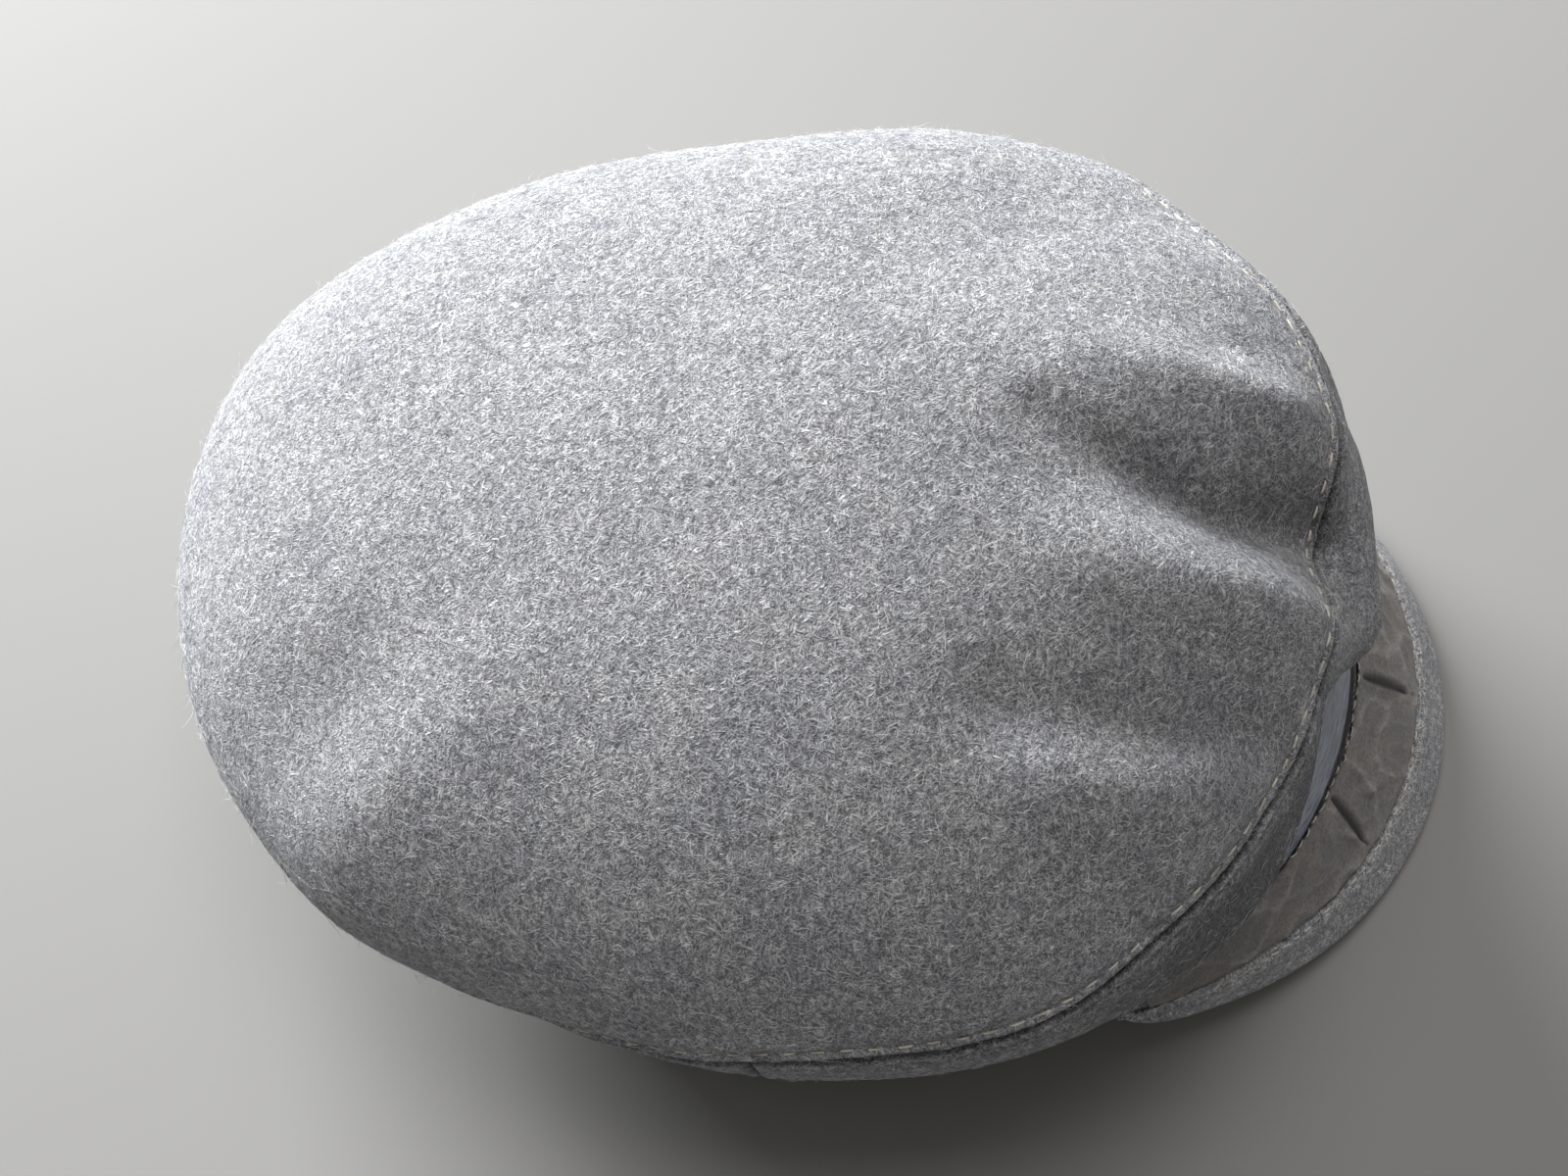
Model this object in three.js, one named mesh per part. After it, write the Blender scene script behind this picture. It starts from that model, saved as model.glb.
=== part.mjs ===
// Greek fisherman cap in grey heather wool, resting on a surface by itself.
//
// The shapes are worked out in the cap's own frame: the head opening's centre is the origin, +X is the
// wearer's left, +Y the back, +Z up, and z = 0 is the plane of the headband's bottom edge. The whole
// cap is then tipped back until the drooping peak and the back of the headband both touch the surface.
// Millimetres throughout. A "direction" is an angle round the cap: 0 at the front, 90 at the wearer's
// left, 180 at the back.

import * as THREE from "three";

// ---------------------------------------------------------------- driving dimensions

const WOOL = 2.0;             // milled wool cloth of the crown
const SEAM_GAP = 0.3;         // clearance between neighbouring pieces
const STEPS_ROUND = 72;       // sections round the cap
const STEP = 360 / STEPS_ROUND;

const BAND = {
  halfWidth: 86,              // bottom edge, outside
  halfLength: 97,
  height: 28,
  topHalfWidth: 83,           // the front leans back more than the back leans in
  topHalfLength: 91,
  topShift: 3,
  wall: 2.2,
  rows: 2,
  settled: [35, 85],          // lies flat on the surface this far from the back, and is free past that
};

const RIBBON = { low: 7.4, high: 25, wall: 1.0 };

const CROWN = {
  x: -1,                      // middle of the top
  y: 16,
  top: 98,
  topRows: 12,                // rows of the top, a little closer together towards its seam
  crowding: 0.85,
  sideRows: 6,
  tuckOut: 0.45,              // under its outermost point the cloth curves in to the headband: how
  tuckUpper: 0.4,             // far out the curve's lower control point is, and how high the upper
  tuckLower: 0.25,            // and lower ones are, as shares of the way from headband to edge
  sag: 0.85,                  // where the side panels swell out they also hang down, by this share
  swellHigh: 0.8,             // below 1 the swelling is fullest above the middle of the panel
};

const SIDE_SEAM = 19 * STEP;  // direction of the seams that join the two side panels
const SIDE_SEAM_TRIM = 0.1;   // half of the gap there, degrees

const PEAK = {
  span: 66,                   // half of the stretch of headband that it is sewn to, degrees
  reach: 19,                  // how far its underside stands out at the front
  endReach: 0.8,              // and at its two ends
  taper: 1.43,                // how quickly it narrows towards them
  drop: 31,                   // how far its underside falls at the front
  wall: 3.6,                  // board with cloth on both sides
  camber: 1.0,
  flat: 28,                   // the edge touches the surface over this many degrees each side
  steps: 33,                  // sections along the peak
  rim: [0.655, 0.67],         // foot and top of the wool rim's inner wall, as shares of the depth
  rimAtEnds: 0.8,             // these shares shrink to this much at the ends
  recess: 1.3,                // the top is lower inside the rim, for the smooth panel
  edge: [0.75, 0.88, 0.97, 1],
  rounding: 0.9,              // the outer corner is rounded off past the last row but one
};

const PANEL = {
  wall: 1.0,
  margin: 1,                  // the panel stops this many sections short of the peak's ends
  depths: [0.04, 0.14, 0.24, 0.34, 0.44, 0.54, 0.63],
};

// The crown's sections. turn is an angle round each section: 0 at the middle of the top, 90 at the
// outermost point, and 180 at the headband.
const CROWN_SECTIONS = [
  { direction: 0, reach: 116, edgeHeight: 46, seamTurn: 71 },
  { direction: 16, reach: 117, edgeHeight: 46, seamTurn: 70 },
  { direction: 32, reach: 120, edgeHeight: 46, seamTurn: 68 },
  { direction: 60, reach: 110, edgeHeight: 50, seamTurn: 88 },
  { direction: 90, reach: 101, edgeHeight: 54, seamTurn: 110 },
  { direction: 120, reach: 110, edgeHeight: 57, seamTurn: 118 },
  { direction: 150, reach: 125, edgeHeight: 58, seamTurn: 118 },
  { direction: 180, reach: 119, edgeHeight: 58, seamTurn: 118 },
  { direction: 210, reach: 107, edgeHeight: 56, seamTurn: 112 },
  { direction: 240, reach: 94, edgeHeight: 53, seamTurn: 98 },
  { direction: 270, reach: 96, edgeHeight: 49, seamTurn: 82 },
  { direction: 300, reach: 104, edgeHeight: 46, seamTurn: 82 },
  { direction: 330, reach: 103, edgeHeight: 45, seamTurn: 84 },
  { direction: 345, reach: 109, edgeHeight: 45, seamTurn: 80 },
];

// Where the side panels swell out past the smooth form, to hang over the headband, or are tucked in
// under the seam (-). direction and spread are degrees round the crown.
const SWELLS = [
  { name: "bulge over the peak", direction: 352, spread: 8, swell: 5.5 },
  { name: "tuck beside it", direction: 343, spread: 5, swell: -4 },
  { name: "hang on the right", direction: 322, spread: 18, swell: 6.5 },
];

// Folds and dents of the top. Each runs from one place to another, seen from above; width is its
// half width and lift how far it stands proud of the smooth form (+) or sinks into it (-), both at
// its two ends.
const FOLDS = [
  { name: "front fold", from: [-3, -40], to: [-13, -92], width: [8, 12], lift: [-1.5, -8.0] },
  { name: "fold shoulder", from: [16, -54], to: [12, -96], width: [11, 11], lift: [1.5, 2.5] },
  { name: "fold lip", from: [-24, -58], to: [-31, -90], width: [10, 10], lift: [1.0, 2.5] },
  { name: "left shoulder", from: [30, -68], to: [36, -96], width: [11, 11], lift: [0.8, 3.2] },
  { name: "second fold", from: [-48, -28], to: [-38, -88], width: [12, 9], lift: [-1.2, -2.6] },
  { name: "seam bulge", from: [-48, -66], to: [-48, -84], width: [9, 9], lift: [1.0, 6.0] },
  { name: "second lip", from: [-61, -32], to: [-64, -72], width: [11, 10], lift: [1.2, 1.6] },
  { name: "left dent", from: [50, -22], to: [66, -84], width: [16, 14], lift: [-2.2, -2.6] },
  { name: "right dent", from: [-64, -20], to: [-78, -44], width: [14, 14], lift: [-1.4, -1.8] },
  { name: "back dent", from: [-26, 76], to: [-32, 100], width: [12, 13], lift: [-1.2, -2.4] },
  { name: "back lip", from: [-38, 66], to: [-52, 92], width: [10, 10], lift: [0.8, 1.4] },
];
const FOLD_END = 14;          // a fold dies out over this length past its ends
const FOLD_FADE = 45;         // and over this many degrees of turn below the seam

// ---------------------------------------------------------------- small helpers

const radians = THREE.MathUtils.degToRad;
const clamp = THREE.MathUtils.clamp;
const lerp = THREE.MathUtils.lerp;

// Value of a column of CROWN_SECTIONS in any direction: a smooth closed curve through the rows.
function sectionValue(column, direction) {
  const rows = CROWN_SECTIONS;
  const count = rows.length;
  const row = (i) => rows[((i % count) + count) % count];
  const at = (i) => row(i).direction + 360 * Math.floor(i / count);
  const slope = (i) => (row(i + 1)[column] - row(i - 1)[column]) / (at(i + 1) - at(i - 1));
  const angle = ((direction % 360) + 360) % 360;
  let i = count - 1;
  while (rows[i].direction > angle) i -= 1;
  const width = at(i + 1) - at(i);
  const f = (angle - at(i)) / width;
  const rise = 3 * f ** 2 - 2 * f ** 3;
  const leave = f ** 3 - 2 * f ** 2 + f;
  const arrive = f ** 3 - f ** 2;
  return lerp(row(i)[column], row(i + 1)[column], rise) + width * (leave * slope(i) + arrive * slope(i + 1));
}

// A closed wall between two grids of points, outer[i][j] and inner[i][j], where i runs round the cap
// by direction and j runs down or outwards. The grid closes on itself along i when it wraps; with a
// pole, the row j = 0 is a single point.
function wallGeometry(outer, inner, { wraps = false, pole = false } = {}) {
  const rows = outer.length;
  const columns = outer[0].length;
  const positions = [];
  const indices = [];
  const place = (grid) => grid.map((row) => row.map((point) => positions.push(...point) / 3 - 1));
  const out = place(outer);
  const back = place(inner);
  const quad = (a, b, c, d) => {
    if (a !== b) indices.push(a, c, b);
    if (c !== d) indices.push(a, d, c);
  };
  if (pole) {
    for (const grid of [out, back]) grid.forEach((row) => { row[0] = grid[0][0]; });
  }
  const spans = wraps ? rows : rows - 1;
  for (let i = 0; i < spans; i += 1) {
    const k = (i + 1) % rows;
    for (let j = 0; j < columns - 1; j += 1) {
      quad(out[i][j], out[k][j], out[k][j + 1], out[i][j + 1]);
      quad(back[k][j], back[i][j], back[i][j + 1], back[k][j + 1]);
    }
    const last = columns - 1;
    quad(out[i][last], out[k][last], back[k][last], back[i][last]);
    if (!pole) quad(out[k][0], out[i][0], back[i][0], back[k][0]);
  }
  if (!wraps) {
    for (let j = 0; j < columns - 1; j += 1) {
      const end = rows - 1;
      quad(out[0][j], out[0][j + 1], back[0][j + 1], back[0][j]);
      quad(out[end][j + 1], out[end][j], back[end][j], back[end][j + 1]);
    }
  }
  const geometry = new THREE.BufferGeometry();
  geometry.setAttribute("position", new THREE.Float32BufferAttribute(positions, 3));
  geometry.setIndex(indices);
  geometry.computeVertexNormals();
  return geometry;
}

// Numbers from first to last in equal steps.
function spread(first, last, steps) {
  return Array.from({ length: steps + 1 }, (_, i) => lerp(first, last, i / steps));
}

// ---------------------------------------------------------------- the resting plane

const restSlope = PEAK.drop / (BAND.halfLength * 2 + PEAK.reach);
const REST_TILT = Math.atan(restSlope);

// Height of the surface that the cap stands on, in the cap's own frame.
const surfaceHeight = (y) => -(BAND.halfLength - y) * restSlope;

// ---------------------------------------------------------------- headband and ribbon

// Bottom edge of the headband: level, but the soft back of it settles flat on the surface.
function bandBottom(direction, y) {
  const fromBack = Math.abs(((direction % 360) + 360) % 360 - 180);
  const settled = 1 - THREE.MathUtils.smoothstep(fromBack, ...BAND.settled);
  return surfaceHeight(y) * settled;
}

// A point of the headband: level 0 at the bottom edge, 1 at the top; out is measured from its outside.
function bandPoint(direction, level, out) {
  const a = radians(direction);
  const halfWidth = lerp(BAND.halfWidth, BAND.topHalfWidth, level) + out;
  const halfLength = lerp(BAND.halfLength, BAND.topHalfLength, level) + out;
  const x = halfWidth * Math.sin(a);
  const y = BAND.topShift * level - halfLength * Math.cos(a);
  return [x, y, lerp(bandBottom(direction, y), BAND.height, level)];
}

function bandGrid(levels, out) {
  const section = (_, i) => levels.map((level) => bandPoint(i * STEP, level, out));
  return Array.from({ length: STEPS_ROUND }, section);
}

function headbandGeometry() {
  const levels = spread(1, 0, BAND.rows);
  return wallGeometry(bandGrid(levels, 0), bandGrid(levels, -BAND.wall), { wraps: true });
}

function ribbonGeometry() {
  const levels = [RIBBON.high / BAND.height, RIBBON.low / BAND.height];
  const outside = SEAM_GAP + RIBBON.wall;
  return wallGeometry(bandGrid(levels, outside), bandGrid(levels, SEAM_GAP), { wraps: true });
}

// ---------------------------------------------------------------- crown

// The crown's smooth form, before its folds: an elliptical dome down to the outermost point, then
// a curve that runs in to the top of the headband.
function crownForm(direction, turn) {
  const a = radians(direction);
  const reach = sectionValue("reach", direction);
  const edgeHeight = sectionValue("edgeHeight", direction);
  const domeTurn = radians(Math.min(turn, 90));
  if (turn <= 90) {
    const r = reach * Math.sin(domeTurn);
    const z = edgeHeight + (CROWN.top - edgeHeight) * Math.cos(domeTurn);
    return new THREE.Vector3(CROWN.x + r * Math.sin(a), CROWN.y - r * Math.cos(a), z);
  }
  const q = (turn - 90) / 90;
  const outer = (1 - q) ** 3;
  const upper = 3 * q * (1 - q) ** 2;
  const lower = 3 * q ** 2 * (1 - q);
  const foot = BAND.height + SEAM_GAP;
  const fall = edgeHeight - foot;
  const [bandX, bandY] = bandPoint(direction, 1, 0);
  const share = outer + upper + CROWN.tuckOut * lower;
  const z = foot + fall * (outer + CROWN.tuckUpper * upper + CROWN.tuckLower * lower);
  return new THREE.Vector3(
    lerp(bandX, CROWN.x + reach * Math.sin(a), share),
    lerp(bandY, CROWN.y - reach * Math.cos(a), share),
    z,
  );
}

// Outward normal of the smooth form.
function crownNormal(direction, turn) {
  const step = 0.5;
  const t = clamp(turn, 1, 179);
  const down = crownForm(direction, t + step).sub(crownForm(direction, t - step));
  const round = crownForm(direction + step, t).sub(crownForm(direction - step, t));
  return down.cross(round).normalize();
}

// How far the folds lift the cloth at a place seen from above.
function foldHeight(x, y) {
  let height = 0;
  for (const { from, to, width, lift } of FOLDS) {
    const length = Math.hypot(to[0] - from[0], to[1] - from[1]);
    const ux = (to[0] - from[0]) / length;
    const uy = (to[1] - from[1]) / length;
    const along = (x - from[0]) * ux + (y - from[1]) * uy;
    const aside = (x - from[0]) * uy - (y - from[1]) * ux;
    const share = clamp(along / length, 0, 1);
    const past = along - share * length;
    const spreadAside = (aside / lerp(...width, share)) ** 2;
    height += lerp(...lift, share) * Math.exp(-spreadAside - (past / FOLD_END) ** 2);
  }
  return height;
}

// How far the side panel swells out and hangs down at a place between its seam and the headband.
function swelling(direction, turn) {
  let swell = 0;
  for (const row of SWELLS) {
    const away = ((direction - row.direction + 540) % 360) - 180;
    swell += row.swell * Math.exp(-((away / row.spread) ** 2));
  }
  const seam = sectionValue("seamTurn", direction);
  const share = clamp((turn - seam) / (180 - seam), 0, 1);
  swell *= Math.sin(Math.PI * share ** CROWN.swellHigh);
  const outward = crownNormal(direction, 90).setZ(0).normalize();
  return outward.multiplyScalar(swell).setZ(-Math.max(swell, 0) * CROWN.sag);
}

// A point of the crown's cloth, depth millimetres under its outside.
function crownPoint(direction, turn, depth = 0) {
  const form = crownForm(direction, turn);
  const normal = crownNormal(direction, turn);
  const below = turn - sectionValue("seamTurn", direction);
  const fade = 1 - clamp(below / FOLD_FADE, 0, 1);
  const lift = foldHeight(form.x, form.y) * fade - depth;
  return form.addScaledVector(normal, lift).add(swelling(direction, turn)).toArray();
}

// Turn at which a piece ends beside the top's seam: side is -1 for the top, 1 for a side panel.
function seamEdge(direction, side) {
  const seam = sectionValue("seamTurn", direction);
  const perDegree = crownForm(direction, seam + 0.5).distanceTo(crownForm(direction, seam - 0.5));
  return seam + (side * SEAM_GAP) / 2 / perDegree;
}

function crownTopGeometry() {
  const shares = spread(0, 1, CROWN.topRows).map((s) => s ** CROWN.crowding);
  const grid = (depth) => Array.from({ length: STEPS_ROUND }, (_, i) => {
    const direction = i * STEP;
    const seam = seamEdge(direction, -1);
    return shares.map((s) => (s === 0
      ? [CROWN.x, CROWN.y, CROWN.top + foldHeight(CROWN.x, CROWN.y) - depth]
      : crownPoint(direction, s * seam, depth)));
  });
  return wallGeometry(grid(0), grid(WOOL), { wraps: true, pole: true });
}

function crownSideGeometry(from, to) {
  const directions = spread(from, to, Math.round((to - from) / STEP));
  directions[0] += SIDE_SEAM_TRIM;
  directions[directions.length - 1] -= SIDE_SEAM_TRIM;
  const grid = (depth) => directions.map((direction) => {
    const turns = spread(seamEdge(direction, 1), 180, CROWN.sideRows);
    return turns.map((turn) => crownPoint(direction, turn, depth));
  });
  return wallGeometry(grid(0), grid(WOOL));
}

// ---------------------------------------------------------------- peak

// How much of its full size the peak has at an angle round the headband.
const peakFullness = (along) => Math.cos((Math.PI / 2) * (along / PEAK.span)) ** PEAK.taper;

// Where a row of the peak lies at its sections near the ends, of which the rim takes a larger share.
function rowDepth(depth, fullness) {
  const [rim] = PEAK.rim;
  const rimHere = rim * lerp(PEAK.rimAtEnds, 1, fullness);
  return depth < rim ? (depth * rimHere) / rim : 1 - ((1 - depth) * (1 - rimHere)) / (1 - rim);
}

// A point of the peak: along is the angle round the headband, row is 0 at the band and 1 at the edge,
// and lift is the height over its underside. The inner end is cut upright, to lie along the headband.
function peakPoint(along, row, lift) {
  const a = radians(along);
  const [x, y] = bandPoint(along, 0, SEAM_GAP);
  const normal = new THREE.Vector2(Math.sin(a) / BAND.halfWidth, -Math.cos(a) / BAND.halfLength);
  normal.normalize();
  const fullness = peakFullness(along);
  const depth = rowDepth(row, fullness);
  const reach = lerp(PEAK.endReach, PEAK.reach, fullness);
  const edgeY = y + normal.y * reach;
  const outside = clamp((Math.abs(along) - PEAK.flat) / (PEAK.span - PEAK.flat), 0, 1);
  const fall = -surfaceHeight(edgeY) * (1 - outside ** 2);
  const slope = Math.atan2(fall, reach);
  const rise = lift + PEAK.camber * fullness * Math.sin(Math.PI * depth);
  const outward = reach * depth + rise * Math.sin(slope) * depth;
  const height = -fall * depth + rise * lerp(1 / Math.cos(slope), Math.cos(slope), depth);
  return [x + normal.x * outward, y + normal.y * outward, height];
}

function peakGrid(alongs, depths, lift) {
  return alongs.map((along) => depths.map((depth) => peakPoint(along, depth, lift(along, depth))));
}

const PEAK_ALONGS = spread(-PEAK.span, PEAK.span, PEAK.steps);
const PANEL_ALONGS = PEAK_ALONGS.slice(PANEL.margin, -PANEL.margin);

function peakGeometry() {
  const depths = [0, ...PANEL.depths, ...PEAK.rim, ...PEAK.edge];
  const panelEnd = PANEL_ALONGS.at(-1);
  const top = (along, depth) => {
    const inPanel = depth <= PEAK.rim[0] && Math.abs(along) <= panelEnd;
    if (inPanel) return PEAK.wall - PEAK.recess;
    return PEAK.wall - (depth === 1 ? PEAK.rounding : 0);
  };
  return wallGeometry(peakGrid(PEAK_ALONGS, depths, top), peakGrid(PEAK_ALONGS, depths, () => 0));
}

function peakPanelGeometry() {
  const under = PEAK.wall - PEAK.recess + SEAM_GAP;
  const grid = (lift) => peakGrid(PANEL_ALONGS, PANEL.depths, () => lift);
  return wallGeometry(grid(under + PANEL.wall), grid(under));
}

// ---------------------------------------------------------------- the cap

function cloth(name, color, roughness) {
  return new THREE.MeshStandardMaterial({ name, color, roughness, metalness: 0 });
}

const woolTop = cloth("wool_heather", 0x7d7f88, 0.95);
const woolBand = cloth("wool_band", 0x6d6f78, 0.95);
const satin = cloth("satin_ribbon", 0x6f7a94, 0.45);
const smoothCloth = cloth("smooth_cloth", 0x77716c, 0.8);

function piece(name, geometry, material) {
  const mesh = new THREE.Mesh(geometry, material);
  mesh.name = name;
  return mesh;
}

const cap = new THREE.Group();
cap.add(
  piece("crown_top", crownTopGeometry(), woolTop),
  piece("crown_side_front", crownSideGeometry(-SIDE_SEAM, SIDE_SEAM), woolTop),
  piece("crown_side_back", crownSideGeometry(SIDE_SEAM, 360 - SIDE_SEAM), woolTop),
  piece("headband", headbandGeometry(), woolBand),
  piece("band_ribbon", ribbonGeometry(), satin),
  piece("peak", peakGeometry(), woolBand),
  piece("peak_panel", peakPanelGeometry(), smoothCloth),
);

// Tip the cap back onto the surface, then centre its outline over the origin.
cap.rotation.x = -REST_TILT;
const rested = new THREE.Group();
rested.add(cap);
rested.updateMatrixWorld(true);
const outline = new THREE.Box3().setFromObject(rested, true);
const middle = outline.getCenter(new THREE.Vector3());
rested.position.set(-middle.x, -middle.y, -outline.min.z);

export default rested;
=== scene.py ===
# %% [markdown]
# # A greek fisherman cap in grey heather wool
#
# A soft cap, lying on a pale floor. The frame gives the true solids of its seven pieces: a crown
# cut in three panels, a headband, a satin ribbon round it, a stiff peak and the thin cloth panel on
# the peak's top. This notebook keeps every piece where the frame has it and makes it look like sewn
# cloth: rolled seams, folds, stitches, and wool with loose fibres.

# %% Load the frame
import math

import bpy
import numpy as np
from mathutils import Matrix, Vector, kdtree, noise
from mathutils.bvhtree import BVHTree


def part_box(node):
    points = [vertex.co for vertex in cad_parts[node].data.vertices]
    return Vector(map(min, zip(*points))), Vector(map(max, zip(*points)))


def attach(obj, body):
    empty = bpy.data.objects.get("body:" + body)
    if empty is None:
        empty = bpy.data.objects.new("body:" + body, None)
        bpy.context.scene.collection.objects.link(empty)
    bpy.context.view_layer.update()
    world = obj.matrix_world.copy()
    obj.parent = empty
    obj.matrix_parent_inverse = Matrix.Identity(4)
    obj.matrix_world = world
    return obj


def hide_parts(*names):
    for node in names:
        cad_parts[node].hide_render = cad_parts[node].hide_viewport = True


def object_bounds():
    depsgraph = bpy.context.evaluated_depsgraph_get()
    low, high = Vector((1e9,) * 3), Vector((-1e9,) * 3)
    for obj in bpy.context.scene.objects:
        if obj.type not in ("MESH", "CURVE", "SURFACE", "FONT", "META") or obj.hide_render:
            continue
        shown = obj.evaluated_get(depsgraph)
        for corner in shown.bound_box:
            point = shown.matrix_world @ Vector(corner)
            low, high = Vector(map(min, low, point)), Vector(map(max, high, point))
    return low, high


MM = 0.001
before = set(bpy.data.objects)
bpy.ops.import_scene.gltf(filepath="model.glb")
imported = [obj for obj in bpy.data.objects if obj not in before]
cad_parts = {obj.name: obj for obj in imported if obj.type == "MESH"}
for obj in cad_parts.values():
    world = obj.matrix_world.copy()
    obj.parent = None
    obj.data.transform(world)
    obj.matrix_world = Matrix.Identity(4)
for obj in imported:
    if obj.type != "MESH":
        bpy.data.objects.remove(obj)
cad_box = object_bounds()
cap_size = cad_box[1] - cad_box[0]
print("the cap measures", [round(side / MM, 1) for side in cap_size], "mm")

# %% [markdown]
# ## Camera
#
# The cap is seen from above and from the wearer's right, with its front to the right of the frame.
# A camera could be moved by hand until the view is right, but its place is easier to read and to
# change as what it looks at, how far away it is, and two angles. The last turn is a roll about its
# own line of sight.

# %% Camera
VIEW_TARGET = Vector((-2.1, 10.1, 61.5)) * MM
VIEW_DISTANCE = 415 * MM
VIEW_ELEVATION = 63.3      # degrees above the horizon
VIEW_AZIMUTH = 181.4       # degrees from +X, anticlockwise
VIEW_ROLL = -4.53          # degrees, about the line of sight
FOCAL_LENGTH = 48.64       # mm

elevation, azimuth = math.radians(VIEW_ELEVATION), math.radians(VIEW_AZIMUTH)
towards_camera = Vector((
    math.cos(elevation) * math.cos(azimuth),
    math.cos(elevation) * math.sin(azimuth),
    math.sin(elevation),
))
lens = bpy.data.cameras.new("view")
lens.lens = FOCAL_LENGTH
camera = bpy.data.objects.new("view", lens)
bpy.context.scene.collection.objects.link(camera)
turn = (-towards_camera).to_track_quat("-Z", "Y").to_matrix().to_4x4()
roll = Matrix.Rotation(math.radians(VIEW_ROLL), 4, "Z")
camera.matrix_world = Matrix.Translation(VIEW_TARGET + towards_camera * VIEW_DISTANCE) @ turn @ roll
bpy.context.scene.camera = camera
print("the camera is at", [round(x / MM) for x in camera.location], "mm")

# %% [markdown]
# ## Floor and light
#
# Soft daylight falls from the wearer's left, low enough that the crown's far side goes dark. One
# wide area lamp does that, a second fills the shade a little, and the world stands for the rest of
# a pale room. A sky or a picture of a room could light the cap too, but with two lamps it is plain
# what each one does. The floor belongs to the stage, not to the cap.

# %% Helpers for making materials
def add_node(tree, kind, inputs=None, **settings):
    """Adds a node. An input is given a value, or linked where a socket is given."""
    made = tree.nodes.new(kind)
    for name, value in settings.items():
        setattr(made, name, value)
    for name, value in (inputs or {}).items():
        if isinstance(value, bpy.types.NodeSocket):
            tree.links.new(value, made.inputs[name])
        else:
            made.inputs[name].default_value = value
    return made


def new_material(name, **values):
    """A material with its Principled shader's sockets set: returns material, tree and shader."""
    material = bpy.data.materials.new(name)
    material.use_nodes = True
    shader = material.node_tree.nodes["Principled BSDF"]
    for socket, value in values.items():
        shader.inputs[socket.replace("_", " ")].default_value = value
    return material, material.node_tree, shader


# %% Floor, lamps and world
LAMPS = [
    # name, where it stands, its size (m), power (W) and colour
    {
        "name": "window", "at": (1.28, 0.82, 0.51),
        "size": 1.0, "power": 87, "colour": (0.97, 0.985, 1.0),
    },
    {
        "name": "ceiling", "at": (0.5, 0.0, 1.9),
        "size": 1.2, "power": 16, "colour": (1.0, 0.985, 0.97),
    },
]
FLOOR_SIZE = 8             # metres
FLOOR_COLOUR = (0.33, 0.325, 0.315, 1)
ROOM_COLOUR, ROOM_STRENGTH = (1.0, 0.99, 0.97, 1), 0.17

bpy.ops.mesh.primitive_plane_add(size=FLOOR_SIZE)
floor = bpy.context.object
floor.name = "floor"
floor_material, _, _ = new_material("floor_paint", Base_Color=FLOOR_COLOUR, Roughness=0.8)
floor.data.materials.append(floor_material)

for lamp in LAMPS:
    light = bpy.data.lights.new(lamp["name"], "AREA")
    light.size = lamp["size"]
    light.energy = lamp["power"]
    light.color = lamp["colour"]
    stand = bpy.data.objects.new(lamp["name"], light)
    bpy.context.scene.collection.objects.link(stand)
    place = Vector(lamp["at"])
    towards_cap = place.to_track_quat("Z", "Y").to_matrix().to_4x4()
    stand.matrix_world = Matrix.Translation(place) @ towards_cap

world = bpy.data.worlds.new("pale_room")
world.use_nodes = True
background = world.node_tree.nodes["Background"]
background.inputs["Color"].default_value = ROOM_COLOUR
background.inputs["Strength"].default_value = ROOM_STRENGTH
bpy.context.scene.world = world
bpy.context.scene.view_settings.view_transform = "Standard"
print("floor, world and", len(LAMPS), "lamps")

# %% [markdown]
# ## Heather wool
#
# Milled wool has no weave to see: its surface is a mat of short fibres lying every way, spun from
# pale, mid and dark wool, so it looks speckled at about a millimetre and cloudy over a few. A noise
# that is stretched along one line makes streaks like fibres. Six of them, stretched along the six
# diagonals of an icosahedron, leave no direction out, and the brightest of the six wins at each
# place. The same mat of streaks drives the bump. A picture of felt could do this too, but it would
# have to be unwrapped onto each panel, and a pattern on Object coordinates needs no unwrapping.
# Shade is painted into the wool: darkest in the seams, and also in the fold valleys and on the side
# panels beside the peak. An attribute says where, and is written with the seams.

# %% Helpers for patterns
def object_place(tree):
    """Places on a piece, in metres, which move with it."""
    return add_node(tree, "ShaderNodeTexCoord").outputs["Object"]


def grain(tree, place, scale, detail=2.0, output="Fac"):
    """A noise, finer where its scale is larger."""
    inputs = {"Vector": place, "Scale": scale, "Detail": detail}
    return add_node(tree, "ShaderNodeTexNoise", inputs).outputs[output]


def roughen(tree, shader, height, strength, distance):
    """Makes a shader's surface look uneven by a height."""
    inputs = {"Height": height, "Strength": strength, "Distance": distance}
    bump = add_node(tree, "ShaderNodeBump", inputs)
    tree.links.new(bump.outputs["Normal"], shader.inputs["Normal"])


# %% A mat of fibres
GOLDEN = (1 + 5 ** 0.5) / 2
FIBRE_LINES = [Vector(v).normalized() for v in (
    (0, 1, GOLDEN), (0, -1, GOLDEN), (1, GOLDEN, 0),
    (-1, GOLDEN, 0), (GOLDEN, 0, 1), (-GOLDEN, 0, 1),
)]


def fibre_mat(tree, place, fineness, stretch):
    """The height of a mat of streaks, from about 0.5 to 0.8."""
    highest = None
    for line in FIBRE_LINES:
        turn = line.to_track_quat("Z", "Y").to_euler()
        along = add_node(tree, "ShaderNodeMapping", {
            "Vector": place, "Rotation": turn, "Scale": (1, 1, stretch),
        }, vector_type="TEXTURE")
        height = grain(tree, along.outputs["Vector"], fineness, 1.0)
        if highest is not None:
            higher = add_node(tree, "ShaderNodeMath", {0: highest, 1: height}, operation="MAXIMUM")
            height = higher.outputs[0]
        highest = height
    return highest


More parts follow.
